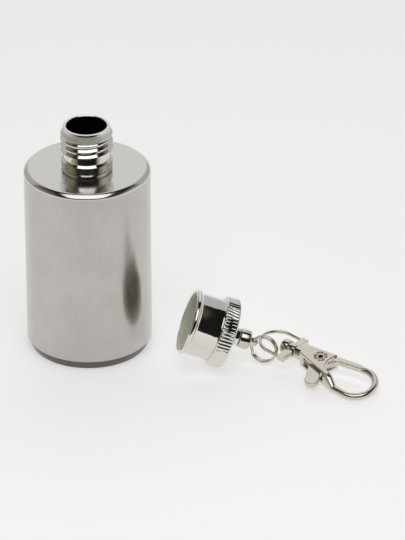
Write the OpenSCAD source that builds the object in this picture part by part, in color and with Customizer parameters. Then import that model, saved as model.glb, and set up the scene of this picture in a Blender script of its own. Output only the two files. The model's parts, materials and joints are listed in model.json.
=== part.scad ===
// Small screw-neck steel bottle with its knurled cap taken off. The cap carries
// a swivel, a split ring and a lobster clasp. Origin at the centre of the
// bottle's foot, +Z up, the cap and clasp lying to the +X side.

/* [Bottle] */
// Outer diameter of the body
body_d = 31; // [24:0.5:60]
// Height of the shoulder face above the floor
shoulder_z = 48.7; // [30:0.1:90]
// Wall of the drawn tube
tube_wall = 0.5; // [0.3:0.05:1.2]
// Thickness of the shoulder plate
shoulder_t = 1.3; // [1.1:0.1:2.5]
// Width of the polished bevel round the shoulder
bevel_w = 1.1; // [0.4:0.1:2]
// Drop of the polished bevel
bevel_h = 0.9; // [0.3:0.1:1]
// Height of the tapered foot
foot_h = 2.4; // [1.5:0.1:5]
// How far the foot draws in below the wall
foot_inset = 1; // [0.4:0.1:2]
// Radial width of the ring the bottle stands on
foot_land = 0.9; // [0.5:0.1:2]
// Height of the recessed base above the floor
base_rise = 1.1; // [0.6:0.1:2]
// Thickness of the pressed base
base_t = 0.6; // [0.4:0.1:1]
// Height of the base cup's skirt inside the tube
skirt_h = 1.6; // [1:0.1:3]
// Gap left in a welded or pressed seam
seam = 0.02; // [0.01:0.01:0.05]

/* [Neck] */
// Bore of the neck
bore_d = 10; // [8:0.1:11]
// Height of the neck above the shoulder
neck_h = 11.3; // [10:0.1:16]
// Diameter of the plain spigot at the shoulder
spigot_d = 11.4; // [11:0.1:11.9]
// Height of the plain spigot
spigot_h = 0.9; // [0.5:0.1:1.5]
// Diameter of the collar
collar_d = 12.4; // [12:0.1:12.8]
// Height of the collar below its chamfer
collar_h = 1.8; // [1:0.1:2.2]
// Height of the collar's chamfer
collar_chamfer = 0.7; // [0.3:0.1:0.9]
// Outer diameter of the thread
thread_d = 12.9; // [12.6:0.1:13]
// Depth of the thread
thread_depth = 0.7; // [0.4:0.05:0.8]
// Pitch of the thread
thread_pitch = 1.6; // [1.4:0.1:1.8]
// Number of thread grooves
thread_turns = 3; // [2:1:4]
// Height of the slope between the lip and the thread
lead_in = 1; // [0.5:0.1:1.4]
// Plain land above the first groove
top_land = 0.25; // [0.1:0.05:0.6]
// Diameter across the lip
lip_d = 11.5; // [11:0.1:12]
// Height of the plain lip
lip_h = 1; // [0.5:0.1:1.5]
// Radius of the flange under the shoulder
flange_r = 7.2; // [6.6:0.1:9]
// Thickness of the flange under the shoulder
flange_t = 0.8; // [0.5:0.1:1.5]

/* [Cap] */
// Length of the cap from mouth to closed face
cap_len = 11.3; // [10.6:0.1:14]
// Outer diameter of the cap's plain wall
cap_d = 15.5; // [15.3:0.1:17]
// Thickness of the cap's metal
cap_wall = 0.4; // [0.3:0.05:0.5]
// Diameter over the rolled bead at the mouth
bead_d = 16.7; // [16.3:0.1:18]
// Width of the rolled bead
bead_w = 1.85; // [1.4:0.05:2.4]
// Diameter over the knurl
grip_d = 17.5; // [16.8:0.1:20]
// Width of the knurled ring
grip_w = 3.9; // [3:0.1:5]
// Number of knurl ridges
knurl_count = 62; // [40:1:80]
// Depth of the knurl
knurl_depth = 0.35; // [0.2:0.05:0.4]
// Plain edge on each side of the knurl
grip_edge = 0.5; // [0.3:0.1:0.8]
// Chamfer on the edges of the knurled ring
grip_chamfer = 0.3; // [0.2:0.05:0.3]
// Inner diameter of the plastic liner
liner_bore_d = 13.3; // [13.2:0.05:13.4]
// How far the liner sits inside the mouth
liner_inset = 0.4; // [0.2:0.1:1]
// Height of the liner's thread ridge
ridge_h = 0.55; // [0.3:0.05:0.6]
// Thickness of the sealing ring
gasket_t = 1; // [0.8:0.1:1.2]
// Play between liner and metal cap
liner_play = 0.05; // [0.02:0.01:0.08]

/* [Swivel] */
// Radius of the rivet head inside the cap
stud_head_r = 2.6; // [2:0.1:3]
// Thickness of the rivet head inside the cap
stud_head_t = 0.5; // [0.3:0.1:0.7]
// Radius of the rivet through the cap
stud_r = 1.2; // [0.9:0.1:1.4]
// Radius of the boss outside the cap
boss_r = 2.15; // [1.8:0.05:2.4]
// Length of the boss outside the cap
boss_len = 2.25; // [1:0.05:2.5]
// Radius of the stem between boss and head
stem_r = 0.9; // [0.7:0.05:1]
// Radius of the head held inside the barrel
stem_head_r = 1.5; // [1.2:0.05:1.6]
// Outer radius of the barrel
barrel_r = 2.45; // [2.3:0.05:3]
// Length of the barrel
barrel_len = 2.7; // [2.6:0.1:4]
// Wall of the barrel
barrel_wall = 0.6; // [0.4:0.05:0.65]
// Running gap inside the swivel
swivel_gap = 0.15; // [0.1:0.05:0.2]
// Radial play of the stem in the barrel
stem_play = 0.08; // [0.05:0.01:0.1]
// Half width of the eye tab
eye_half_w = 1.2; // [1.15:0.05:1.8]
// Thickness of the eye tab
eye_t = 0.9; // [0.7:0.1:1.1]
// Distance from the barrel to the centre of the eye
eye_reach = 1; // [0.9:0.05:2]
// Radius of the hole in the eye
eye_hole_r = 0.85; // [0.82:0.01:0.86]

/* [Split ring] */
// Outer diameter of the split ring
ring_d = 7.2; // [6.8:0.1:8]
// Wire of the split ring
ring_wire = 0.72; // [0.5:0.02:0.74]
// Gap between the two coils of the split ring
coil_gap = 0.04; // [0.02:0.01:0.06]

/* [Clasp loop] */
// Width over the loop
loop_w = 10.2; // [9.5:0.1:12]
// Length of the loop from bar face to tip
loop_len = 10.4; // [9.5:0.1:12]
// Wire of the loop
loop_wire = 0.9; // [0.8:0.05:1.2]
// Width of the loop's base bar
bar_w = 1.8; // [1.4:0.1:2.2]
// Thickness of the loop's base bar
bar_t = 1.5; // [1.2:0.1:2]
// Half width of the boss round the rivet hole
bar_boss_w = 1.7; // [1.4:0.1:2]

/* [Clasp] */
// Radius of the clasp's swivel rivet
rivet_r = 0.8; // [0.6:0.05:0.9]
// Running clearance of the swivel rivet
rivet_play = 0.08; // [0.05:0.01:0.1]
// Radius of the swivel rivet's head
rivet_head_r = 1.9; // [1.4:0.05:1.9]
// Thickness of the swivel rivet's head
rivet_head_t = 2; // [0.8:0.1:2.6]
// Radius of the collar behind the loop's bar
neck_collar_r = 1.6; // [1.3:0.05:1.8]
// Distance from the bar to the clasp body
body_start = 2.3; // [2:0.1:3]
// Thickness over the two side plates
body_t = 4.6; // [4:0.1:6]
// Thickness of each side plate
side_t = 0.9; // [0.6:0.1:1.1]
// Length of the solid block behind the side plates
block_len = 1.3; // [1:0.1:1.5]
// Distance from the bar to the trigger pivot
pivot_u = 7.5; // [7:0.1:8]
// Offset of the trigger pivot to the far side
pivot_w = 0.4; // [0.3:0.05:0.5]
// Radius of the trigger's pivot tube
pivot_r = 0.95; // [0.8:0.05:1]
// Bore radius of the trigger's pivot tube
pivot_bore_r = 0.6; // [0.4:0.05:0.65]
// Running clearance of the trigger on its pivot
pivot_play = 0.05; // [0.03:0.01:0.08]
// Distance from the bar to the centre of the hook's bend
hook_u = 18.6; // [18:0.1:20]
// Offset of the centre of the hook's bend
hook_w = -0.05; // [-0.3:0.05:0.5]
// Radius of the hook's bend, to the middle of its bar
hook_r = 4.8; // [4.6:0.1:5.4]
// Radius of the hook's bar
hook_bar_r = 0.9; // [0.8:0.05:1.25]
// Length of the hook's straight run before its bend
hook_run = 3.2; // [2.6:0.1:3.6]
// Thickness of the trigger between the side plates
trigger_t = 2.6; // [2.2:0.1:2.7]
// Thickness of the thumb lever
lever_t = 1.4; // [1.2:0.1:2.2]
// Radius of the trigger's hub
hub_r = 1.9; // [1.7:0.05:2]
// Width of the gate
gate_w = 1.3; // [1:0.05:1.6]
// Thickness of the gate
gate_t = 1.5; // [1.4:0.1:2.2]
// Distance of the gate's end from the pivot
gate_reach = 10.4; // [9.8:0.05:11]
// Gap between the gate's end and the hook
gate_gap = 0.15; // [0.1:0.01:0.2]
// Wire of the trigger spring
spring_wire = 0.24; // [0.2:0.02:0.3]
// Outer radius of the trigger spring
spring_r = 0.75; // [0.6:0.05:0.8]
// Number of turns of the trigger spring
spring_turns = 4; // [3:1:5]

/* [Layout] */
// Place of the cap's mouth to the right of the bottle
cap_x = 24.25; // [22:0.05:40]
// Place of the cap's mouth towards the back
cap_y = -11.85; // [-14:0.05:-8]
// Downward tilt of the cap's closed end
cap_tilt = 20.3; // [15:0.1:25]
// Heading of the cap
cap_turn = 0.8; // [-5:0.1:5]
// Swing of the split ring in the eye
ring_swing = 22; // [15:1:30]
// Lean of the split ring in the eye
ring_lean = 8; // [0:1:10]
// Turn of the split ring in its own plane
ring_turn = 40; // [0:5:360]
// Place of the loop's near arm to the right of the eye
link_x = 3.45; // [3.3:0.05:3.7]
// Place of the loop's near arm towards the back of the eye
link_y = -2.2; // [-2.5:0.05:-2]
// Height of the loop's near arm over the eye
link_z = -1.25; // [-1.5:0.05:-1]
// Heading of the clasp
clasp_turn = -39; // [-50:1:-30]
// Downward pitch of the clasp
clasp_pitch = 6.6; // [5:0.1:8]
// Roll of the clasp body
clasp_roll = 12; // [0:1:15]
// Roll of the loop
loop_roll = 2; // [-5:1:5]

/* [Hidden] */
steel = [0.70, 0.69, 0.67];
bright = [0.80, 0.80, 0.79];
nickel = [0.76, 0.73, 0.68];
plastic = [0.66, 0.69, 0.60];
silicone = [0.85, 0.85, 0.82];

body_r = body_d / 2;
tube_in_r = body_r - tube_wall;
tube_top = shoulder_z - shoulder_t;
foot_r = body_r - foot_inset;
lip_z = shoulder_z + neck_h;
spigot_r = spigot_d / 2;
collar_r = collar_d / 2;
thread_r = thread_d / 2;
root_r = thread_r - thread_depth;
collar_top = shoulder_z + spigot_h + collar_h;
groove_z = [for (i = [0 : thread_turns - 1]) lip_z - lip_h - lead_in - top_land - (i + 0.5) * thread_pitch];
relief_z = groove_z[thread_turns - 1] - thread_pitch / 2;

cap_r = cap_d / 2;
cap_in_r = cap_r - cap_wall;
bead_r = bead_d / 2;
grip_r = grip_d / 2;
grip_start = cap_len - grip_w;
end_in = cap_len - cap_wall;
gasket_s = end_in - gasket_t;
liner_r = cap_in_r - liner_play;
liner_in_r = liner_bore_d / 2;
liner_end = gasket_s - liner_play;
seat_offset = lip_z - gasket_s;
cap_z = (cap_len - grip_chamfer) * sin(cap_tilt) + grip_r * cos(cap_tilt);

barrel_s = cap_len + boss_len + swivel_gap;
barrel_end = barrel_s + barrel_len;
stem_head_s = barrel_s + barrel_wall + swivel_gap;
stem_head_t = barrel_len - 2 * barrel_wall - 2 * swivel_gap;
barrel_in_r = barrel_r - barrel_wall;
eye_s = barrel_end + eye_reach;

ring_r = ring_d / 2 - ring_wire / 2;
coil_pitch = ring_wire + coil_gap;
jog = 15;

loop_half = loop_w / 2 - loop_wire / 2;
arm_len = loop_len - loop_w / 2;

half_t = body_t / 2;
slot_t = body_t - 2 * side_t;
block_end = body_start + block_len;
near_slope = -0.235;
near_edge_w = -1.5;
far_edge_w = 1.9;
far_corner = [10.5, 3.3];
notch = [[9.85, 0.6], [9.9, -0.6], [10.4, -1.7], [12.6, -2.8]];
root_u = 12.9;
hook_end_a = 125;
lever_tip = [9.95, -6.4];
lever_tip_r = 1.75;
lever_outline = [[-2, 0], [-2, -1.9], [-0.9, -3.8], [0.74, -7.1], [4.17, -6.5], [3.05, -3.95], [2.1, -1.4], [1, 0]];
gate_knee = [3.1, 3];
hook_off = [hook_u - pivot_u, hook_w - pivot_w];
gate_cos = (norm(hook_off) * norm(hook_off) + gate_reach * gate_reach - hook_r * hook_r) / (2 * norm(hook_off) * gate_reach);
gate_a = atan2(hook_off[1], hook_off[0]) + acos(gate_cos);
gate_end = (gate_reach + 1) * [cos(gate_a), sin(gate_a)];
gate_dir = atan2(gate_end[1] - gate_knee[1], gate_end[0] - gate_knee[0]);
spring_w = -0.75;
spring_end = 5.45;

module cap_frame() {
    translate([cap_x, cap_y, cap_z]) rotate([0, 0, cap_turn]) rotate([0, 90 + cap_tilt, 0]) children();
}

module ring_frame() {
    cap_frame() translate([0, 0, eye_s]) rotate([ring_swing, 0, 0]) rotate([0, ring_lean, 0])
        translate([0, 0, ring_r]) rotate([-90, 0, 0]) rotate([0, 0, ring_turn]) children();
}

// The loop hangs by the end of its near arm, and the clasp turns about the middle of the loop's bar
module clasp_axis_frame(roll) {
    cap_frame() translate([0, 0, eye_s]) rotate([0, -90 - cap_tilt, 0]) rotate([0, 0, -cap_turn])
        translate([link_x, link_y, link_z]) rotate([0, 0, clasp_turn]) rotate([0, clasp_pitch, 0])
        rotate([loop_roll, 0, 0]) translate([arm_len, loop_half, 0]) rotate([roll - loop_roll, 0, 0]) children();
}

// A washer or sleeve between two heights
module sleeve(r_in, r_out, z0, z1) {
    translate([0, 0, z0]) difference() {
        cylinder(r = r_out, h = z1 - z0, $fn = 96);
        translate([0, 0, -1]) cylinder(r = r_in, h = z1 - z0 + 2, $fn = 96);
    }
}

module bottle_tube() {
    color(steel) sleeve(tube_in_r, body_r, foot_h, tube_top);
}

module shoulder_plate() {
    hole_r = spigot_r + seam;
    color(bright) rotate_extrude($fn = 128) polygon([
        [hole_r, tube_top], [body_r, tube_top], [body_r, shoulder_z - bevel_h],
        [body_r - bevel_w, shoulder_z], [hole_r, shoulder_z]
    ]);
}

module base_cup() {
    skirt_r = tube_in_r - seam;
    lip_edge = 0.3;
    land_in = foot_r - lip_edge - foot_land;
    color(steel) rotate_extrude($fn = 128) polygon([
        [0, base_rise], [land_in - base_rise, base_rise], [land_in, 0], [foot_r - lip_edge, 0],
        [foot_r, lip_edge], [body_r, foot_h], [skirt_r, foot_h], [skirt_r, foot_h + skirt_h],
        [skirt_r - base_t, foot_h + skirt_h], [skirt_r - base_t, base_rise + base_t], [0, base_rise + base_t]
    ]);
}

// Turned neck: flange, spigot, collar, relief, thread grooves and lip
module neck() {
    lip_edge = 0.2;
    crest = thread_pitch * 0.22;
    slope = thread_pitch * 0.22;
    grooves = [for (z = [for (i = [thread_turns - 1 : -1 : 0]) groove_z[i]])
        each [[thread_r, z - thread_pitch / 2 + crest], [root_r, z - slope / 2],
              [root_r, z + slope / 2], [thread_r, z + thread_pitch / 2 - crest]]];
    color(bright) rotate_extrude($fn = 96) polygon(concat(
        [[bore_d / 2, tube_top - flange_t - seam], [flange_r, tube_top - flange_t - seam],
         [flange_r, tube_top - seam], [spigot_r, tube_top - seam],
         [spigot_r, shoulder_z + spigot_h], [collar_r, shoulder_z + spigot_h], [collar_r, collar_top],
         [root_r, collar_top + collar_chamfer], [root_r, relief_z]],
        grooves,
        [[thread_r, lip_z - lip_h - lead_in], [lip_d / 2, lip_z - lip_h], [lip_d / 2, lip_z - lip_edge],
         [lip_d / 2 - lip_edge, lip_z], [bore_d / 2, lip_z]]
    ));
}

// Drawn metal cup with a rolled bead round its mouth
module cap_shell() {
    hole_r = stud_r + seam;
    bead_mid = bead_w * 0.4;
    bead_curve = [for (a = [-90 : 15 : 60]) [bead_r - bead_mid + bead_mid * cos(a), bead_mid + bead_mid * sin(a)]];
    color(bright) cap_frame() rotate_extrude($fn = 96) polygon(concat(
        [[cap_in_r, bead_w], [cap_in_r, bead_mid], [bead_r - 2 * bead_mid + 0.35, 0.05]],
        bead_curve,
        [[cap_r, bead_w], [cap_r, cap_len], [hole_r, cap_len], [hole_r, end_in], [cap_in_r, end_in]]
    ));
}

module knurl_outline(n, r_root, r_crest) {
    step = 360 / n;
    polygon([for (i = [0 : n - 1]) each [
        for (p = [[0, r_root], [0.3, r_crest], [0.7, r_crest]])
            [p[1] * cos((i + p[0]) * step), p[1] * sin((i + p[0]) * step)]
    ]]);
}

module grip_ring() {
    r_in = cap_r + seam;
    r_root = grip_r - knurl_depth;
    r_edge = r_root - 0.1;
    color(bright) cap_frame() translate([0, 0, grip_start]) {
        rotate_extrude($fn = 96) polygon([
            [r_in, 0], [r_edge - grip_chamfer, 0], [r_edge, grip_chamfer], [r_edge, grip_edge], [r_in, grip_edge]
        ]);
        translate([0, 0, grip_edge]) difference() {
            linear_extrude(height = grip_w - 2 * grip_edge) knurl_outline(knurl_count, r_root, grip_r);
            translate([0, 0, -1]) cylinder(r = r_in, h = grip_w, $fn = 96);
        }
        rotate_extrude($fn = 96) polygon([
            [r_in, grip_w - grip_edge], [r_edge, grip_w - grip_edge], [r_edge, grip_w - grip_chamfer],
            [r_edge - grip_chamfer, grip_w], [r_in, grip_w]
        ]);
    }
}

// Moulded liner: smooth skirt at the mouth, then ridges that run in the neck's thread
module cap_liner() {
    ridge_r = liner_in_r - ridge_h;
    foot = thread_pitch * 0.2;
    ridges = [for (i = [0 : thread_turns - 1]) let (s = groove_z[i] - seat_offset)
        each [[liner_in_r, s + foot], [ridge_r, s + foot / 3], [ridge_r, s - foot / 3], [liner_in_r, s - foot]]];
    color(plastic) cap_frame() rotate_extrude($fn = 96) polygon(concat(
        [[liner_in_r + 0.2, liner_inset], [liner_r, liner_inset], [liner_r, liner_end], [liner_in_r, liner_end]],
        ridges,
        [[liner_in_r, liner_inset + 0.5]]
    ));
}

module cap_gasket() {
    color(silicone) cap_frame() sleeve(stud_head_r + liner_play, liner_r, gasket_s, end_in - seam);
}

// Rivet through the closed end: inner head, boss, stem and the head held in the barrel
module swivel_stud() {
    color(bright) cap_frame() rotate_extrude($fn = 64) polygon([
        [0, end_in - stud_head_t], [stud_head_r, end_in - stud_head_t], [stud_head_r, end_in - seam],
        [stud_r, end_in - seam], [stud_r, cap_len + seam], [boss_r, cap_len + seam],
        [boss_r, cap_len + boss_len], [stem_r, cap_len + boss_len], [stem_r, stem_head_s],
        [stem_head_r, stem_head_s], [stem_head_r, stem_head_s + stem_head_t], [0, stem_head_s + stem_head_t]
    ]);
}

module swivel_barrel() {
    edge = 0.2;
    neck_r = stem_r + stem_play;
    color(nickel) cap_frame() rotate_extrude($fn = 64) polygon([
        [neck_r, barrel_s], [barrel_r - edge, barrel_s], [barrel_r, barrel_s + edge],
        [barrel_r, barrel_end - edge], [barrel_r - edge, barrel_end], [neck_r, barrel_end],
        [neck_r, barrel_end - barrel_wall], [barrel_in_r, barrel_end - barrel_wall],
        [barrel_in_r, barrel_s + barrel_wall], [neck_r, barrel_s + barrel_wall]
    ]);
}

// Flat eye tab with its own stem crimped into the barrel's end
module swivel_eye() {
    neck_r = stem_r + stem_play - seam;
    color(nickel) cap_frame() {
        translate([0, 0, barrel_end - barrel_wall]) cylinder(r = neck_r, h = barrel_wall + 0.3, $fn = 48);
        translate([-eye_t / 2, 0, eye_s]) rotate([0, 90, 0]) linear_extrude(height = eye_t) difference() {
            union() {
                circle(r = eye_half_w, $fn = 64);
                translate([0, -eye_half_w]) square([eye_reach - seam, 2 * eye_half_w]);
            }
            circle(r = eye_hole_r, $fn = 64);
        }
    }
}

// Height of the split ring's wire at angle a: one coil, a short jog, the other coil
function coil_z(a) = a < 360 - jog ? 0 : a > 360 + jog ? coil_pitch
    : coil_pitch * (0.5 - 0.5 * cos((a - 360 + jog) / (2 * jog) * 180));

// A tube swept along points, with n sides
module tube_along(points, r, n) {
    last = len(points) - 1;
    rings = [for (i = [0 : last])
        let (d = points[min(i + 1, last)] - points[max(i - 1, 0)], t = d / norm(d),
             side = cross(t, [0, 0, 1]), s = side / norm(side), u = cross(s, t))
        each [for (k = [0 : n - 1]) points[i] + r * (cos(360 * k / n) * s + sin(360 * k / n) * u)]];
    walls = [for (i = [0 : last - 1], k = [0 : n - 1])
        [i * n + k, i * n + (k + 1) % n, (i + 1) * n + (k + 1) % n, (i + 1) * n + k]];
    polyhedron(rings, concat(walls, [[for (k = [n - 1 : -1 : 0]) k], [for (k = [0 : n - 1]) last * n + k]]),
        convexity = 6);
}

module split_ring() {
    path = [for (a = [jog : 7.5 : 720 - jog]) [ring_r * cos(a), ring_r * sin(a), coil_z(a) - coil_pitch / 2]];
    color(nickel) ring_frame() tube_along(path, ring_wire / 2, 12);
}

module arc_wire(r, a0, a1, wire_r) {
    rotate([0, 0, a0]) rotate_extrude(angle = a1 - a0, $fn = 96) translate([r, 0]) circle(r = wire_r, $fn = 32);
}

// Cast loop: flat bar with a rivet boss, two arms and a round end
module clasp_loop() {
    w = loop_wire / 2;
    bore = rivet_r + rivet_play;
    color(nickel) clasp_axis_frame(loop_roll) difference() {
        union() {
            translate([-bar_w, -loop_w / 2, -bar_t / 2]) cube([bar_w, loop_w, bar_t]);
            for (side = [-1, 1])
                translate([-bar_w / 2, side * loop_half, 0]) rotate([0, -90, 0])
                    cylinder(r = w, h = arm_len - bar_w / 2, $fn = 32);
            translate([-arm_len, 0, 0]) arc_wire(loop_half, 90, 270, w);
            translate([-bar_w, 0, 0]) rotate([0, 90, 0]) cylinder(r = bar_boss_w, h = bar_w, $fn = 48);
        }
        translate([-bar_w - 1, 0, 0]) rotate([0, 90, 0]) cylinder(r = bore, h = bar_w + 2, $fn = 48);
    }
}

module clasp_rivet() {
    head_u = -bar_w - swivel_gap;
    edge = 0.35;
    color(nickel) clasp_axis_frame(clasp_roll) rotate([0, 90, 0]) rotate_extrude($fn = 48) polygon([
        [0, head_u - rivet_head_t], [rivet_head_r - edge, head_u - rivet_head_t],
        [rivet_head_r, head_u - rivet_head_t + edge], [rivet_head_r, head_u], [rivet_r, head_u],
        [rivet_r, block_end - seam], [0, block_end - seam]
    ]);
}

// Outline of a side plate, seen square on
module side_outline() {
    polygon(concat(
        [[body_start, near_edge_w], [body_start, far_edge_w], far_corner],
        notch,
        [[root_u, near_edge_w + near_slope * (root_u - body_start)]]
    ));
}

module pivot_slots(depth) {
    ring_mid = pivot_r + 0.45;
    for (a = [45 : 90 : 315]) rotate([0, 0, a]) linear_extrude(height = depth) intersection() {
        difference() {
            circle(r = ring_mid + 0.17, $fn = 48);
            circle(r = ring_mid - 0.17, $fn = 48);
        }
        polygon([[0, 0], [3, -1.9], [3, 1.9]]);
    }
}

// Cast body: two side plates, a block at the swivel end and the hook
module clasp_body() {
    hook_low = hook_w - hook_r;
    shank_u = root_u - 1.6;
    shank_w = near_edge_w + near_slope * (shank_u - body_start) + 0.6;
    bend_start = hook_u - hook_run;
    color(nickel) clasp_axis_frame(clasp_roll) difference() {
        union() {
            for (z = [-half_t, half_t - side_t]) translate([0, 0, z]) linear_extrude(height = side_t) side_outline();
            translate([body_start, near_edge_w, -half_t]) cube([block_len, far_edge_w - near_edge_w, body_t]);
            translate([swivel_gap, 0, 0]) rotate([0, 90, 0])
                cylinder(r = neck_collar_r, h = body_start - swivel_gap + 0.2, $fn = 48);
            hull() {
                translate([shank_u, shank_w, -half_t]) cylinder(r = 0.55, h = body_t, $fn = 24);
                translate([root_u - 0.2, shank_w - 0.35, -half_t + 0.3]) cylinder(r = 0.8, h = body_t - 0.6, $fn = 24);
                translate([bend_start, hook_low, 0]) sphere(r = hook_bar_r, $fn = 24);
            }
            translate([bend_start, hook_low, 0]) rotate([0, 90, 0]) cylinder(r = hook_bar_r, h = hook_run, $fn = 48);
            difference() {
                translate([hook_u, hook_w, 0]) arc_wire(hook_r, -90, hook_end_a, hook_bar_r);
                translate([pivot_u, pivot_w, -half_t]) cylinder(r = gate_reach + gate_gap, h = body_t, $fn = 128);
            }
        }
        translate([-1, 0, 0]) rotate([0, 90, 0]) cylinder(r = rivet_r + seam, h = block_end + 2, $fn = 48);
        translate([pivot_u, pivot_w, -half_t - 1]) cylinder(r = pivot_r + seam, h = body_t + 2, $fn = 48);
        for (z = [-half_t - 0.5, half_t - 0.5]) translate([pivot_u, pivot_w, z]) pivot_slots(1);
    }
}

// Trigger: hub on the pivot, spring seat and thumb lever to the near side, gate to the hook
module trigger() {
    color(nickel) clasp_axis_frame(clasp_roll) translate([pivot_u, pivot_w, 0]) difference() {
        union() {
            translate([0, 0, -trigger_t / 2]) cylinder(r = hub_r, h = trigger_t, $fn = 64);
            translate([0, 0, trigger_t / 2 - lever_t]) linear_extrude(height = lever_t) polygon(lever_outline);
            translate([lever_tip[0] - pivot_u, lever_tip[1] - pivot_w, trigger_t / 2 - lever_t])
                cylinder(r = lever_tip_r, h = lever_t, $fn = 48);
            translate([0, 0, -gate_t / 2]) intersection() {
                linear_extrude(height = gate_t) polygon([
                    [0.4, 0.4], gate_knee - [0.5, -0.75], gate_knee + [0, 0.9],
                    gate_end + gate_w / 2 * [-sin(gate_dir), cos(gate_dir)],
                    gate_end - gate_w / 2 * [-sin(gate_dir), cos(gate_dir)],
                    gate_knee + [0.6, -0.55], [1.6, -0.4]
                ]);
                cylinder(r = gate_reach, h = gate_t, $fn = 128);
            }
        }
        translate([0, 0, -trigger_t / 2 - 1]) cylinder(r = pivot_r + pivot_play, h = trigger_t + 2, $fn = 48);
    }
}

module trigger_pivot() {
    color(nickel) clasp_axis_frame(clasp_roll) translate([pivot_u, pivot_w, 0])
        sleeve(pivot_bore_r, pivot_r, -half_t, half_t);
}

module trigger_spring() {
    len_u = spring_end - block_end;
    mid_r = spring_r - spring_wire / 2;
    path = [for (i = [0 : 12 * spring_turns]) let (a = 30 * i)
        [mid_r * cos(a), mid_r * sin(a), spring_wire / 2 + (len_u - spring_wire) * i / (12 * spring_turns)]];
    color(steel) clasp_axis_frame(clasp_roll) translate([block_end, spring_w, 0]) rotate([0, 90, 0])
        tube_along(path, spring_wire / 2, 6);
}

bottle_tube();
shoulder_plate();
base_cup();
neck();
cap_shell();
grip_ring();
cap_liner();
cap_gasket();
swivel_stud();
swivel_barrel();
swivel_eye();
split_ring();
clasp_loop();
clasp_rivet();
clasp_body();
trigger();
trigger_pivot();
trigger_spring();
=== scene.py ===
"""Small screw-neck steel bottle with its cap, swivel, split ring and lobster clasp beside it.

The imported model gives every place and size. This script dresses it: each visible piece is
modelled at its real size in metres, given its finish, and made to ride on its body.
"""
import bpy
import json
from math import atan2, cos, pi, radians, sin, sqrt
from mathutils import Matrix, Vector

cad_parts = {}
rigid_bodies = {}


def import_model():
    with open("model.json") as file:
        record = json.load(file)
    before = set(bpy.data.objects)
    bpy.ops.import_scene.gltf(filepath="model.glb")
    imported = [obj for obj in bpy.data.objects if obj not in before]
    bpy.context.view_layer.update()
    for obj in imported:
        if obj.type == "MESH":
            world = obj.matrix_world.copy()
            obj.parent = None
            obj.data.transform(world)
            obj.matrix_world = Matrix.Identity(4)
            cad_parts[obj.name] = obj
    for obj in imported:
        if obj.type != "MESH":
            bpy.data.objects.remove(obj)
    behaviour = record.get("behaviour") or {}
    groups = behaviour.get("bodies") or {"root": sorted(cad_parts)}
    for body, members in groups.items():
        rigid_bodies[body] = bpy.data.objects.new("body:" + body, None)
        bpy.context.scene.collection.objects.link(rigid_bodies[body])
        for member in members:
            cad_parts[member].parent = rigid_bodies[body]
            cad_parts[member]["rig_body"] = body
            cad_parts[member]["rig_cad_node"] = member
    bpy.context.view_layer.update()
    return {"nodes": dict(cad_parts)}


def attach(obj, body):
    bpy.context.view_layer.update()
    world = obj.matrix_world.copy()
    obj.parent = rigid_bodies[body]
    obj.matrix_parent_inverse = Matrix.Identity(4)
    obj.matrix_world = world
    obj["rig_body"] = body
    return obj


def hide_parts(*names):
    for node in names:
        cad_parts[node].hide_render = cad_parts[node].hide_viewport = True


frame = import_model()

# Camera
# The photograph was taken from about a metre away, looking down at 29 degrees along +Y.
# Focal length and place come from the bottle's outline and ellipses.
mm = 0.001
photo_height_px = 540
focal_px = 4300
sensor_height = 36.0
look_down = 29.107
lean = -0.096
camera_data = bpy.data.cameras.new("photo_camera")
camera_data.sensor_fit = "VERTICAL"
camera_data.sensor_height = sensor_height
camera_data.lens = focal_px / photo_height_px * sensor_height
camera_data.clip_start = 0.05
camera_data.clip_end = 20.0
camera = bpy.data.objects.new("photo_camera", camera_data)
bpy.context.scene.collection.objects.link(camera)
camera.location = (28.11 * mm, -928.2 * mm, 536.5 * mm)
tilt = Matrix.Rotation(radians(90 - look_down), 3, "X")
roll = Matrix.Rotation(radians(lean), 3, "Z")
camera.rotation_euler = (tilt @ roll).to_euler()
bpy.context.scene.camera = camera
bpy.context.scene.view_settings.view_transform = "Standard"


# Floor, backdrop and studio
# A pale paper sheet lies under the object and ends a hand's width in front of it. A pale wall stands behind.
# The room in front and overhead is dark, which the bright metal shows as black bands, and to the left and
# right it is olive, paler further out. One wide soft lamp hangs overhead, a little in front.
def linear(code):
    """The linear colour of an sRGB hex value."""
    parts = [int(code[i:i + 2], 16) / 255 for i in (1, 3, 5)]
    return (*[c / 12.92 if c <= 0.04045 else ((c + 0.055) / 1.055) ** 2.4 for c in parts], 1.0)


def add_node(tree, kind, inputs=None, **settings):
    """Adds one shader node, sets it, and links or fills its sockets."""
    made = tree.nodes.new(kind)
    for name, value in settings.items():
        setattr(made, name, value)
    for socket, value in (inputs or {}).items():
        if isinstance(value, bpy.types.NodeSocket):
            tree.links.new(value, made.inputs[socket])
        else:
            made.inputs[socket].default_value = value
    return made


def new_material(name):
    """An empty node material and its tree."""
    material = bpy.data.materials.new(name)
    material.use_nodes = True
    material.node_tree.nodes.clear()
    return material, material.node_tree


# Matt paper. To the camera and in reflections it glows a little, so the sheet stays evenly pale, and the
# soft shadows that fall on it are kept.
paper_glow = 0.46
paper, tree = new_material("matt_paper_sheet")
path = add_node(tree, "ShaderNodeLightPath")
seen = add_node(tree, "ShaderNodeMath", {
    0: path.outputs["Is Camera Ray"], 1: path.outputs["Is Glossy Ray"]
}, operation="MAXIMUM")
glow = add_node(tree, "ShaderNodeMath", {0: seen.outputs[0], 1: paper_glow}, operation="MULTIPLY")
paper_light = add_node(tree, "ShaderNodeEmission", {"Strength": glow.outputs[0]})
paper_fibre = add_node(tree, "ShaderNodeBsdfDiffuse", {"Color": linear("#f0f0f0")})
shader = add_node(tree, "ShaderNodeAddShader", {0: paper_light.outputs[0], 1: paper_fibre.outputs[0]})
add_node(tree, "ShaderNodeOutputMaterial", {"Surface": shader.outputs[0]})

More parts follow.
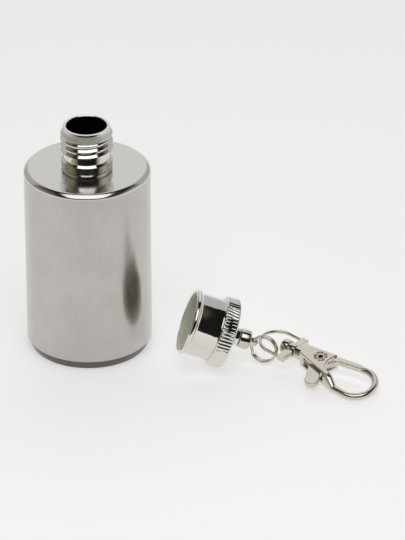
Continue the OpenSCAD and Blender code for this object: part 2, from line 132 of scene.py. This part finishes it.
sheet_size = 6.0
sheet_front = -0.15
bpy.ops.mesh.primitive_plane_add(size=sheet_size, location=(0, sheet_front + sheet_size / 2, 0))
floor = bpy.context.object
floor.name = "paper_floor"
floor.data.materials.append(paper)

world = bpy.data.worlds.new("studio_room")
bpy.context.scene.world = world
world.use_nodes = True
tree = world.node_tree
tree.nodes.clear()
way = add_node(tree, "ShaderNodeTexCoord")
axes = add_node(tree, "ShaderNodeSeparateXYZ", {"Vector": way.outputs["Generated"]})

# The room from left to right: pale olive, olive, dark, olive again, and white at the far right.
olive = linear("#57523f")
left_to_right = add_node(tree, "ShaderNodeMapRange", {
    "Value": axes.outputs["X"], "From Min": -1.0, "From Max": 1.0
})
sides = add_node(tree, "ShaderNodeValToRGB", {"Fac": left_to_right.outputs[0]})
shades = sides.color_ramp.elements
shades[0].color = linear("#b6b3a2")
shades[1].color = linear("#ffffff")
shades.new(0.17).color = olive
shades.new(0.2).color = linear("#25251f")
shades.new(0.83).color = linear("#1c1c1a")
shades.new(0.86).color = olive

# The pale wall behind shows in whatever faces back, and it grows dimmer to both sides.
wall = add_node(tree, "ShaderNodeMapRange", {
    "Value": axes.outputs["Y"], "From Min": 0.33, "From Max": 0.40
})
aside = add_node(tree, "ShaderNodeMath", {0: axes.outputs["X"]}, operation="ABSOLUTE")
wall_end = add_node(tree, "ShaderNodeMapRange", {
    "Value": aside.outputs[0], "From Min": 0.2, "From Max": 0.34, "To Min": 1.0, "To Max": 0.62
})
wall_colour = add_node(tree, "ShaderNodeVectorMath", {
    0: linear("#f1f1f1")[:3], "Scale": wall_end.outputs[0]
}, operation="SCALE")

# The places of a Mix node's colour sockets: its two colours and its result.
colour_a = 6
colour_b = 7
mixed = 2
room_colour = add_node(tree, "ShaderNodeMix", {
    0: wall.outputs[0], colour_a: sides.outputs["Color"], colour_b: wall_colour.outputs[0]
}, data_type="RGBA")
room = add_node(tree, "ShaderNodeBackground", {"Color": room_colour.outputs[mixed], "Strength": 1.0})
add_node(tree, "ShaderNodeOutputWorld", {"Surface": room.outputs[0]})

lamp_data = bpy.data.lights.new("overhead_softbox", "AREA")
lamp_data.shape = "RECTANGLE"
lamp_data.size = 0.84
lamp_data.size_y = 0.78
lamp_data.energy = 3.1
lamp = bpy.data.objects.new("overhead_softbox", lamp_data)
bpy.context.scene.collection.objects.link(lamp)
lamp.location = (0.0, -0.51, 0.8)


# Bottle tube
# A drawn stainless tube, 31 mm across, ground to a satin with a fine upright grain. The base cup is
# welded into its lower end and the shoulder plate on its upper one.
def start_edit(piece):
    """Selects one object alone and opens it with all of it selected."""
    bpy.ops.object.select_all(action="DESELECT")
    piece.select_set(True)
    bpy.context.view_layer.objects.active = piece
    bpy.ops.object.mode_set(mode="EDIT")
    bpy.ops.mesh.select_all(action="SELECT")


def end_edit():
    """Closes edit mode."""
    bpy.ops.object.mode_set(mode="OBJECT")


def turned(name, rings, sides, closed=False):
    """A ring of points is drawn out and widened from one (radius, height) in mm to the next, as on a lathe.

    An open shape is capped at both ends, and a closed one joins its last ring to its first.
    """
    bpy.ops.object.select_all(action="DESELECT")
    radius, height = rings[0]
    bpy.ops.mesh.primitive_circle_add(vertices=sides, radius=radius * mm, location=(0, 0, height * mm))
    piece = bpy.context.object
    piece.name = name
    bpy.ops.object.transform_apply(location=True, rotation=True, scale=True)
    start_edit(piece)
    for (r0, z0), (r1, z1) in zip(rings, rings[1:]):
        bpy.ops.mesh.extrude_edges_move(TRANSFORM_OT_translate={"value": (0, 0, (z1 - z0) * mm)})
        bpy.ops.transform.resize(value=(r1 / r0, r1 / r0, 1), center_override=(0, 0, z1 * mm))
    bpy.ops.mesh.select_all(action="DESELECT")
    bpy.ops.mesh.select_mode(type="EDGE")
    bpy.ops.mesh.select_non_manifold(extend=False)
    if closed:
        bpy.ops.mesh.bridge_edge_loops()
    else:
        bpy.ops.mesh.fill_holes(sides=0)
    bpy.ops.mesh.select_mode(type="VERT")
    bpy.ops.mesh.select_all(action="SELECT")
    bpy.ops.mesh.normals_make_consistent(inside=False)
    end_edit()
    return piece


def smooth(piece, angle=32):
    """Shades a piece smooth where its faces meet at less than this angle."""
    bpy.ops.object.select_all(action="DESELECT")
    piece.select_set(True)
    bpy.context.view_layer.objects.active = piece
    bpy.ops.object.shade_smooth_by_angle(angle=radians(angle))


def dress(piece, material, body, slot, *replaced):
    """Gives a finished piece its material, its body and the solids that it stands for. The slot argument is
    not used.
    """
    piece.data.materials.clear()
    piece.data.materials.append(material)
    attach(piece, body)
    if replaced:
        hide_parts(*replaced)


# Satin stainless steel: a very fine upright grain smears reflections along the wall. The tone drifts faintly
# over a few millimetres, and a few pinhead specks show. Patterns are counted in cells to the metre: the
# grain's are 0.45 mm wide and eight times as tall, coarser than the real grit, which wouldn't show.
grain_cells = 2200.0
cloud_cells = 170.0
speck_cells = 260.0
satin_steel, tree = new_material("satin_stainless_steel")
place = add_node(tree, "ShaderNodeTexCoord")
grain_way = add_node(tree, "ShaderNodeMapping", {"Vector": place.outputs["Object"], "Scale": (1, 1, 0.12)})
grain = add_node(tree, "ShaderNodeTexNoise", {
    "Vector": grain_way.outputs[0], "Scale": grain_cells, "Detail": 3.0
})
cloud = add_node(tree, "ShaderNodeTexNoise", {
    "Vector": place.outputs["Object"], "Scale": cloud_cells, "Detail": 4.0
})
drift = add_node(tree, "ShaderNodeMapRange", {
    "Value": cloud.outputs["Fac"], "From Min": 0.35, "From Max": 0.65
})
wall_tone = add_node(tree, "ShaderNodeMix", {
    0: drift.outputs[0], colour_a: linear("#c1beba"), colour_b: linear("#c6c3bf")
}, data_type="RGBA")
cell = add_node(tree, "ShaderNodeTexVoronoi", {"Vector": place.outputs["Object"], "Scale": speck_cells})
speck = add_node(tree, "ShaderNodeMapRange", {
    "Value": cell.outputs["Distance"], "From Min": 0.03, "From Max": 0.05, "To Min": 0.55, "To Max": 1.0
})
specked = add_node(tree, "ShaderNodeVectorMath", {
    0: wall_tone.outputs[mixed], "Scale": speck.outputs[0]
}, operation="SCALE")
grain_rough = add_node(tree, "ShaderNodeMapRange", {
    "Value": grain.outputs["Fac"], "From Min": 0.3, "From Max": 0.7, "To Min": 0.2, "To Max": 0.26
})
tangent = add_node(tree, "ShaderNodeTangent", direction_type="RADIAL", axis="Z")
shader = add_node(tree, "ShaderNodeBsdfPrincipled", {
    "Base Color": specked.outputs[0], "Metallic": 1.0, "Roughness": grain_rough.outputs[0],
    "Anisotropic": 0.45, "Anisotropic Rotation": 0.25, "Tangent": tangent.outputs[0]
})
add_node(tree, "ShaderNodeOutputMaterial", {"Surface": shader.outputs[0]})

body_r = 15.5
tube_in_r = 15.0
tube_low = 2.4
tube_top = 47.4
tube = turned("tube_wall", [
    (tube_in_r, tube_low), (body_r - 0.08, tube_low), (body_r, tube_low + 0.12), (body_r, 12), (body_r, 24),
    (body_r, 36), (body_r, tube_top), (tube_in_r, tube_top)
], closed=True, sides=256)
smooth(tube)
dress(tube, satin_steel, "bottle", "satin_steel", "bottle_tube")

# Base cup
# A cup pressed from sheet steel and welded into the tube's lower end. Its rim draws in to the narrow ring
# that the bottle stands on, and shows as the dark band at the foot.
cup_r = 14.98
cup_in_r = 14.38
cup_rim = 4.0
cup_floor = 1.1
cup_floor_top = 1.7
centre_r = 0.4
foot = turned("tapered_foot", [
    (centre_r, cup_floor), (12.2, cup_floor), (13.3, 0.15), (13.45, 0.0), (14.1, 0.0), (14.3, 0.06),
    (14.5, 0.3), (body_r - 0.08, tube_low), (cup_r, tube_low), (cup_r, cup_rim), (cup_in_r, cup_rim),
    (cup_in_r, cup_floor_top), (centre_r, cup_floor_top)
], sides=256)
smooth(foot)

# The same steel, its foot turned to size and left so: duller than the ground wall, in patches about 2 mm
# wide. Its darker base colour is painted shade, standing for the foot's reflection of the contact shadow
# under the bottle.
patch_cells = 500.0
foot_steel_painted_shade, tree = new_material("turned_steel_painted_shade")
place = add_node(tree, "ShaderNodeTexCoord")
patches = add_node(tree, "ShaderNodeTexNoise", {"Vector": place.outputs["Object"], "Scale": patch_cells})
dull = add_node(tree, "ShaderNodeMapRange", {
    "Value": patches.outputs["Fac"], "To Min": 0.28, "To Max": 0.4
})
# The dark grey base colour is painted shade: the reflected contact shadow at the foot.
shader = add_node(tree, "ShaderNodeBsdfPrincipled", {
    "Base Color": linear("#6c6661"), "Metallic": 1.0, "Roughness": dull.outputs[0]
})
add_node(tree, "ShaderNodeOutputMaterial", {"Surface": shader.outputs[0]})
dress(foot, foot_steel_painted_shade, "bottle", "satin_steel", "base_cup")

# Shoulder plate
# A turned steel disc welded on top of the tube, with a bevelled edge and a hole for the neck. Its face and
# its bevel are buffed to a mirror.
shoulder_z = 48.7
bevel_w = 1.1
bevel_h = 0.9
plate_hole_r = 5.72
plate = turned("shoulder_disc", [
    (plate_hole_r, tube_top), (body_r, tube_top), (body_r, shoulder_z - bevel_h - 0.1),
    (body_r - 0.02, shoulder_z - bevel_h + 0.04), (body_r - 0.08, shoulder_z - bevel_h + 0.14),
    (body_r - bevel_w + 0.26, shoulder_z - 0.1), (body_r - bevel_w + 0.12, shoulder_z - 0.03),
    (body_r - bevel_w - 0.05, shoulder_z), (body_r - bevel_w - 0.3, shoulder_z), (plate_hole_r, shoulder_z)
], closed=True, sides=256)
smooth(plate)

# Polished stainless steel: a clear mirror, clouded a little by buffing swirls about 2.4 mm wide.
swirl_cells = 420.0
polished_steel, tree = new_material("polished_stainless_steel")
place = add_node(tree, "ShaderNodeTexCoord")
swirl = add_node(tree, "ShaderNodeTexNoise", {
    "Vector": place.outputs["Object"], "Scale": swirl_cells, "Detail": 3.0
})
sheen = add_node(tree, "ShaderNodeMapRange", {
    "Value": swirl.outputs["Fac"], "From Min": 0.3, "From Max": 0.7, "To Min": 0.12, "To Max": 0.19
})
shader = add_node(tree, "ShaderNodeBsdfPrincipled", {
    "Base Color": linear("#d2cfcb"), "Metallic": 1.0, "Roughness": sheen.outputs[0]
})
add_node(tree, "ShaderNodeOutputMaterial", {"Surface": shader.outputs[0]})
dress(plate, polished_steel, "bottle", "polished_steel", "shoulder_plate")

# Neck
# Turned from bar and welded through the shoulder: a spigot, a collar, a relief groove, three turns of a
# 13 mm thread and a sloped lip. The bright metal mirrors the dark room in front.
lip_z = 60.0
lip_r = 5.75
lip_foot = 58.0
bore_r = 5.0
flange_r = 7.2
spigot_r = 5.78
collar_r = 6.3
collar_low = 49.5
collar_high = 51.25
thread_low = 52.0
thread_high = 57.35
thread_pitch = 1.6
thread_root = 5.72
thread_crest = 6.45
thread_width = 1.4
thread_start = 52.9
thread_turns = 3.1
neck_core = turned("neck_core", [
    (bore_r, 46.6), (flange_r, 46.6), (flange_r, tube_top - 0.02), (5.7, tube_top - 0.02), (5.7, shoulder_z),
    (spigot_r, shoulder_z + 0.3), (spigot_r, collar_low), (collar_r, collar_low), (collar_r, collar_high),
    (spigot_r, collar_high + 0.5), (spigot_r, thread_low), (thread_root, thread_low + 0.1),
    (thread_root, thread_high), (6.2, 57.78), (6.34, 57.92), (6.36, lip_foot + 0.05), (6.3, lip_foot + 0.2),
    (5.84, 58.92), (5.76, 59.12), (lip_r, lip_z - 0.2), (5.68, lip_z - 0.07), (5.5, lip_z),
    (bore_r + 0.1, lip_z), (bore_r, lip_z - 0.1)
], closed=True, sides=192)
smooth(neck_core, 40)


def thread_ridge(name, radius, crest, start_z, pitch, turns, width):
    """A ridge with flat flanks wound round the axis, thinned out over a fifth of a turn at both ends.

    A small diamond set on edge is swept by a screw. Its hidden corner stays inside the wall that it sits on.
    """
    steps = int(96 * turns)
    hidden = 0.3
    fade = 0.2
    end_height = 0.15
    bpy.ops.object.select_all(action="DESELECT")
    bpy.ops.mesh.primitive_circle_add(vertices=4, radius=mm, location=(0, 0, 0), rotation=(pi / 2, 0, 0))
    piece = bpy.context.object
    piece.name = name
    bpy.ops.object.transform_apply(location=True, rotation=True, scale=True)
    piece.scale = (abs(crest - radius), 1, width / 2)
    piece.location = (radius * mm, 0, start_z * mm)
    bpy.ops.object.transform_apply(location=True, rotation=True, scale=True)
    for point in piece.data.vertices:
        depth = (point.co.x / mm - radius) / (crest - radius)
        if depth < -0.5:
            point.co.x = (radius + (hidden if crest < radius else -hidden)) * mm
    sweep = piece.modifiers.new("sweep", "SCREW")
    sweep.angle = 2 * pi * turns
    sweep.screw_offset = pitch * turns * mm
    sweep.steps = steps
    sweep.render_steps = steps
    sweep.use_merge_vertices = False
    bpy.ops.object.modifier_apply(modifier=sweep.name)
    start_edit(piece)
    bpy.ops.mesh.select_mode(type="EDGE")
    bpy.ops.mesh.select_non_manifold(extend=False)
    bpy.ops.mesh.fill_holes(sides=0)
    bpy.ops.mesh.select_mode(type="VERT")
    bpy.ops.mesh.select_all(action="SELECT")
    bpy.ops.mesh.normals_make_consistent(inside=False)
    end_edit()
    first = start_z * mm
    rise = pitch * turns * mm
    for point in piece.data.vertices:
        turn = (point.co.z - first) / rise * turns
        near_end = max(0.0, min(turn, turns - turn))
        if near_end < fade:
            flat = Vector((point.co.x, point.co.y, 0))
            inward = flat.normalized() * (radius * mm)
            kept = end_height + (1 - end_height) * near_end / fade
            target = inward + (flat - inward) * kept
            point.co.x = target.x
            point.co.y = target.y
    smooth(piece, 50)
    return piece


def join(name, *pieces):
    """Makes several meshes one object."""
    bpy.ops.object.select_all(action="DESELECT")
    for piece in pieces:
        piece.select_set(True)
    bpy.context.view_layer.objects.active = pieces[0]
    bpy.ops.object.join()
    pieces[0].name = name
    return pieces[0]


# Stainless steel cut on the lathe: the thread and collar are burnished bright. The lip's slope is left as
# cut, so it is duller. It is found by its height and by its distance from the axis.
neck_steel, tree = new_material("thread_cut_stainless_steel")
place = add_node(tree, "ShaderNodeTexCoord")
place_axes = add_node(tree, "ShaderNodeSeparateXYZ", {"Vector": place.outputs["Object"]})
above_foot = add_node(tree, "ShaderNodeMapRange", {
    "Value": place_axes.outputs["Z"], "From Min": (lip_foot - 0.2) * mm, "From Max": (lip_foot + 0.2) * mm
})
flat_place = add_node(tree, "ShaderNodeCombineXYZ", {
    "X": place_axes.outputs["X"], "Y": place_axes.outputs["Y"]
})
reach = add_node(tree, "ShaderNodeVectorMath", {0: flat_place.outputs[0]}, operation="LENGTH")
outside = add_node(tree, "ShaderNodeMapRange", {
    "Value": reach.outputs["Value"], "From Min": (bore_r + 0.1) * mm, "From Max": (bore_r + 0.3) * mm
})
under_rim = add_node(tree, "ShaderNodeMapRange", {
    "Value": place_axes.outputs["Z"], "From Min": (lip_z - 0.6) * mm, "From Max": (lip_z - 0.3) * mm,
    "To Min": 1.0, "To Max": 0.0
})
slope = add_node(tree, "ShaderNodeMath", {
    0: above_foot.outputs[0], 1: under_rim.outputs[0]
}, operation="MULTIPLY")
on_lip = add_node(tree, "ShaderNodeMath", {0: slope.outputs[0], 1: outside.outputs[0]}, operation="MULTIPLY")
cut = add_node(tree, "ShaderNodeMapRange", {"Value": on_lip.outputs[0], "To Min": 0.09, "To Max": 0.6})
shader = add_node(tree, "ShaderNodeBsdfPrincipled", {
    "Base Color": linear("#e0ddd9"), "Metallic": 1.0, "Roughness": cut.outputs[0]
})
add_node(tree, "ShaderNodeOutputMaterial", {"Surface": shader.outputs[0]})

male_thread = thread_ridge(
    "male_thread", thread_root, thread_crest, thread_start, thread_pitch, thread_turns, thread_width
)
neck = join("threaded_neck", neck_core, male_thread)
dress(neck, neck_steel, "bottle", "polished_steel", "neck")

# Cap shell
# A cup drawn from thin brass, chrome plated, with its mouth rolled over into a bead. It lies on its side
# beside the bottle, its closed end down.
cap_tilt = 20.3
cap_turn = 0.8
cap_len = 11.3
cap_r = 7.75
cap_in_r = 7.35
end_t = 0.4
stem_hole_r = 1.22
bead_r = 8.35
bead_roll = 0.74
bead_top = 1.85
grip_r = 8.75
grip_chamfer = 0.3
cap_x = 24.25
cap_y = -11.85
cap_lift = (cap_len - grip_chamfer) * sin(radians(cap_tilt)) + grip_r * cos(radians(cap_tilt))
cap_place = (Matrix.Translation((cap_x * mm, cap_y * mm, cap_lift * mm))
             @ Matrix.Rotation(radians(cap_turn), 4, "Z") @ Matrix.Rotation(radians(90 + cap_tilt), 4, "Y"))


def lay(piece, matrix):
    """Moves a piece's own mesh to its place."""
    piece.data.transform(matrix)
    piece.data.update()


# Bright chrome plate over polished brass: a near perfect mirror with a slightly warm grey cast. Handling
# marks about 1 mm wide catch the lamp as fine pale flecks, and a film lies on it in patches of 4 mm.
mark_cells = 900.0
film_cells = 240.0
chrome, tree = new_material("bright_chrome_plate")
place = add_node(tree, "ShaderNodeTexCoord")
marks = add_node(tree, "ShaderNodeTexNoise", {
    "Vector": place.outputs["Object"], "Scale": mark_cells, "Detail": 3.0
})
marks_bump = add_node(tree, "ShaderNodeBump", {
    "Height": marks.outputs["Fac"], "Strength": 0.3, "Distance": 0.00006
})
film = add_node(tree, "ShaderNodeTexNoise", {
    "Vector": place.outputs["Object"], "Scale": film_cells, "Detail": 4.0
})
film_rough = add_node(tree, "ShaderNodeMapRange", {
    "Value": film.outputs["Fac"], "From Min": 0.4, "From Max": 0.75, "To Min": 0.03, "To Max": 0.09
})
shader = add_node(tree, "ShaderNodeBsdfPrincipled", {
    "Base Color": linear("#e2dfda"), "Metallic": 1.0, "Roughness": film_rough.outputs[0],
    "Normal": marks_bump.outputs[0]
})
add_node(tree, "ShaderNodeOutputMaterial", {"Surface": shader.outputs[0]})

bead = [(bead_r - bead_roll + bead_roll * cos(radians(a)), bead_roll + bead_roll * sin(radians(a)))
        for a in range(-90, 61, 15)]
shell = turned("cap_cup", [
    (cap_in_r, bead_top), (cap_in_r, bead_roll), (7.3, 0.25), (7.4, 0.06), *bead, (7.82, 1.62),
    (cap_r, bead_top), (cap_r, cap_len - 0.1), (cap_r - 0.1, cap_len), (stem_hole_r, cap_len),
    (stem_hole_r, cap_len - end_t), (cap_in_r, cap_len - end_t)
], closed=True, sides=192)
smooth(shell, 40)
lay(shell, cap_place)
dress(shell, chrome, "cap", "cap_chrome", "cap_shell")

# Grip ring
# A straight-knurled ring for the fingers, pressed on round the cap's closed end and chrome plated with it.
# Its ridges stop short of both edges.
knurls = 62
ridge_sides = knurls * 4
grip_w = 3.9
grip_in_r = 7.77
edge_r = 8.3
root_r = 8.5
band_edge = 0.45
grip = turned("knurled_ring", [
    (grip_in_r, 0), (edge_r - 0.25, 0), (edge_r + 0.1, 0.12), (grip_r - 0.1, 0.35), (root_r, 0.5),
    (root_r, grip_w - 0.5), (grip_r - 0.1, grip_w - 0.35), (edge_r + 0.1, grip_w - 0.1),
    (edge_r - 0.2, grip_w), (grip_in_r, grip_w)
], closed=True, sides=ridge_sides)
start_edit(grip)
bpy.ops.mesh.select_all(action="DESELECT")
end_edit()
for point in grip.data.vertices:
    radius = sqrt(point.co.x ** 2 + point.co.y ** 2) / mm
    around = round(atan2(point.co.y, point.co.x) / (2 * pi) * ridge_sides) % 4
    on_ridge = around in (1, 2)
    in_band = band_edge < point.co.z / mm < grip_w - band_edge and radius > root_r - 0.05
    point.select = on_ridge and in_band
bpy.ops.object.mode_set(mode="EDIT")
bpy.ops.transform.resize(value=(grip_r / root_r, grip_r / root_r, 1), center_override=(0, 0, 0))
end_edit()
smooth(grip, 62)
lay(grip, cap_place @ Matrix.Translation((0, 0, (cap_len - grip_w) * mm)))
dress(grip, chrome, "cap", "cap_chrome", "grip_ring")

# Liner
# A moulded plastic cup pushed into the metal cap, which it holds by its fit: a plain skirt at the mouth,
# then the female thread.
liner_r = 7.28
liner_in_r = 6.65
liner_len = 9.8
female_root = 6.68
female_crest = 6.1
female_start = 4.6
female_turns = 3.0
female_width = 0.7

# Moulded polypropylene: pale olive and a little glossy, its tone clouded in patches of about 3 mm.
haze_cells = 350.0
liner_plastic, tree = new_material("moulded_polypropylene")
place = add_node(tree, "ShaderNodeTexCoord")
haze = add_node(tree, "ShaderNodeTexNoise", {
    "Vector": place.outputs["Object"], "Scale": haze_cells, "Detail": 2.0
})
haze_mix = add_node(tree, "ShaderNodeMix", {
    0: haze.outputs["Fac"], colour_a: linear("#e6e8d4"), colour_b: linear("#eceedd")
}, data_type="RGBA")
shader = add_node(tree, "ShaderNodeBsdfPrincipled", {
    "Base Color": haze_mix.outputs[mixed], "Roughness": 0.38, "IOR": 1.49
})
add_node(tree, "ShaderNodeOutputMaterial", {"Surface": shader.outputs[0]})

liner_core = turned("liner_core", [
    (7.02, 0.14), (7.12, 0.07), (7.24, 0.08), (liner_r, 0.2), (liner_r, liner_len), (liner_in_r, liner_len),
    (liner_in_r, 1.0), (6.8, 0.5)
], closed=True, sides=160)
smooth(liner_core, 40)
female_thread = thread_ridge(
    "female_thread", female_root, female_crest, female_start, thread_pitch, female_turns, female_width
)
liner = join("cap_liner_moulding", liner_core, female_thread)
lay(liner, cap_place)
dress(liner, liner_plastic, "cap", "liner_plastic", "cap_liner")

# Sealing ring
# A soft white washer stamped from silicone sheet. It lies at the bottom of the cap, held there by the
# liner's end, and seals on the bottle's lip.
washer_hole_r = 2.65
washer_low = 9.9
washer_top = 10.88

# White silicone rubber: soft and dull, with dust on it in specks of about 1 mm.
dust_cells = 900.0
silicone, tree = new_material("white_silicone_rubber")
place = add_node(tree, "ShaderNodeTexCoord")
dust = add_node(tree, "ShaderNodeTexNoise", {"Vector": place.outputs["Object"], "Scale": dust_cells})
dust_mix = add_node(tree, "ShaderNodeMix", {
    0: dust.outputs["Fac"], colour_a: linear("#d8d8d0"), colour_b: linear("#e0e0d9")
}, data_type="RGBA")
shader = add_node(tree, "ShaderNodeBsdfPrincipled", {
    "Base Color": dust_mix.outputs[mixed], "Roughness": 0.6, "IOR": 1.41
})
add_node(tree, "ShaderNodeOutputMaterial", {"Surface": shader.outputs[0]})

washer = turned("sealing_washer", [
    (washer_hole_r, washer_low + 0.1), (washer_hole_r + 0.1, washer_low), (7.15, washer_low),
    (liner_r, washer_low + 0.13), (liner_r, washer_top), (washer_hole_r, washer_top)
], closed=True, sides=96)
smooth(washer)
lay(washer, cap_place)
dress(washer, silicone, "cap", "seal", "cap_gasket")

# Swivel
# A rivet through the closed end carries a short barrel that turns on it, and a flat eye is crimped into
# the barrel's far end. The rivet is chrome plated with the cap, and the barrel and eye are nickel plated.
stem_r = 1.2
head_r = 2.6
boss_r = 2.15
boss_low = 11.32
boss_top = 13.55
pin_r = 0.9
pin_end = 14.45
pin_head_r = 1.5
pin_head_top = 15.65
stud = turned("swivel_rivet", [
    (centre_r, 10.4), (head_r - 0.2, 10.4), (head_r, 10.52), (head_r, washer_top), (stem_r, washer_top),
    (stem_r, boss_low), (1.9, boss_low), (boss_r - 0.05, 11.45), (boss_r, 11.7), (boss_r, boss_top - 0.15),
    (boss_r - 0.1, boss_top), (pin_r, boss_top), (pin_r, pin_end), (pin_head_r, pin_end),
    (pin_head_r, pin_head_top), (centre_r, pin_head_top)
], sides=96)
smooth(stud)
lay(stud, cap_place)
dress(stud, chrome, "cap", "cap_chrome", "swivel_stud")

# Bright nickel plate: a warmer, slightly softer mirror than chrome, with shallow pits about 1.4 mm apart.
pit_cells = 700.0
nickel, tree = new_material("bright_nickel_plate")
place = add_node(tree, "ShaderNodeTexCoord")
pits = add_node(tree, "ShaderNodeTexNoise", {
    "Vector": place.outputs["Object"], "Scale": pit_cells, "Detail": 3.0
})
pit_rough = add_node(tree, "ShaderNodeMapRange", {
    "Value": pits.outputs["Fac"], "From Min": 0.3, "From Max": 0.7, "To Min": 0.09, "To Max": 0.2
})
pit_bump = add_node(tree, "ShaderNodeBump", {
    "Height": pits.outputs["Fac"], "Strength": 0.25, "Distance": 0.00005
})
shader = add_node(tree, "ShaderNodeBsdfPrincipled", {
    "Base Color": linear("#d6d0c6"), "Metallic": 1.0, "Roughness": pit_rough.outputs[0],
    "Normal": pit_bump.outputs[0]
})
add_node(tree, "ShaderNodeOutputMaterial", {"Surface": shader.outputs[0]})

barrel_r = 2.43
barrel_hole_r = 0.98
barrel_low = 13.7
barrel_top = 16.4
head_room_r = 1.85
head_room_low = 14.3
head_room_top = 15.8
barrel = turned("swivel_barrel_sleeve", [
    (barrel_hole_r, barrel_low), (2.2, barrel_low), (2.35, 13.77), (barrel_r, 13.95),
    (barrel_r, barrel_top - 0.3), (2.3, 16.27), (2.1, 16.38), (1.9, barrel_top), (barrel_hole_r, barrel_top),
    (barrel_hole_r, head_room_top), (head_room_r, head_room_top), (head_room_r, head_room_low),
    (barrel_hole_r, head_room_low)
], closed=True, sides=96)
smooth(barrel)
lay(barrel, cap_place)
dress(barrel, nickel, "swivel", "nickel", "swivel_barrel")


def softened(node, name, width):
    """A copy of a solid with its loose triangles merged and its edges rounded off by a width in mm."""
    piece = frame["nodes"][node].copy()
    piece.data = frame["nodes"][node].data.copy()
    piece.parent = None
    piece.name = name
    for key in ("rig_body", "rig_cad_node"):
        if key in piece:
            del piece[key]
    bpy.context.scene.collection.objects.link(piece)
    start_edit(piece)
    bpy.ops.mesh.remove_doubles(threshold=0.002 * mm)
    bpy.ops.mesh.dissolve_limited(angle_limit=radians(0.5))
    end_edit()
    if width:
        bevel = piece.modifiers.new("broken_edges", "BEVEL")
        bevel.width = width * mm
        bevel.segments = 3
        bevel.limit_method = "ANGLE"
        bevel.angle_limit = radians(30)
        bevel.use_clamp_overlap = True
        bpy.ops.object.modifier_apply(modifier=bevel.name)
    smooth(piece, 40)
    return piece


eye = softened("swivel_eye", "swivel_eye_tab", 0.12)
dress(eye, nickel, "swivel", "nickel", "swivel_eye")

# Split ring
# Spring wire wound in two close turns and nickel plated. It is sprung open to thread it through the eye
# and round the clasp's loop, which it links.
ring = softened("split_ring", "two_turn_ring", 0)
dress(ring, nickel, "ring", "nickel", "split_ring")

# Clasp loop
# A die-cast D, tumbled round and nickel plated. The clasp's rivet turns in its flat bar, and the split
# ring hangs in its bow.
loop = softened("clasp_loop", "cast_loop", 0.22)
dress(loop, nickel, "loop", "nickel", "clasp_loop")

# Clasp
# A zinc die-casting, tumbled and nickel plated, with two side plates and a hook. The trigger turns between
# the plates on a hollow rivet, and a small coil keeps its gate shut against the hook.
rivet = softened("clasp_rivet", "clasp_rivet_pin", 0.1)
dress(rivet, nickel, "clasp", "nickel", "clasp_rivet")


def cast(node, name, passes):
    """A copy of a solid rebuilt from even small faces and relaxed, as a tumbled casting is."""
    piece = softened(node, name, 0)
    remesh = piece.modifiers.new("even_faces", "REMESH")
    remesh.mode = "VOXEL"
    remesh.voxel_size = 0.1 * mm
    bpy.ops.object.modifier_apply(modifier=remesh.name)
    relax = piece.modifiers.new("tumbled", "SMOOTH")
    relax.iterations = passes
    relax.factor = 0.5
    bpy.ops.object.modifier_apply(modifier=relax.name)
    bpy.ops.object.shade_smooth()
    return piece


casting = cast("clasp_body", "clasp_casting", 14)
dress(casting, nickel, "clasp", "nickel", "clasp_body")
lever = cast("trigger", "clasp_trigger", 6)
dress(lever, nickel, "trigger", "nickel", "trigger")
pivot = softened("trigger_pivot", "trigger_rivet", 0.06)
dress(pivot, nickel, "clasp", "nickel", "trigger_pivot")
spring = softened("trigger_spring", "trigger_coil", 0)
dress(spring, nickel, "clasp", "spring_steel", "trigger_spring")
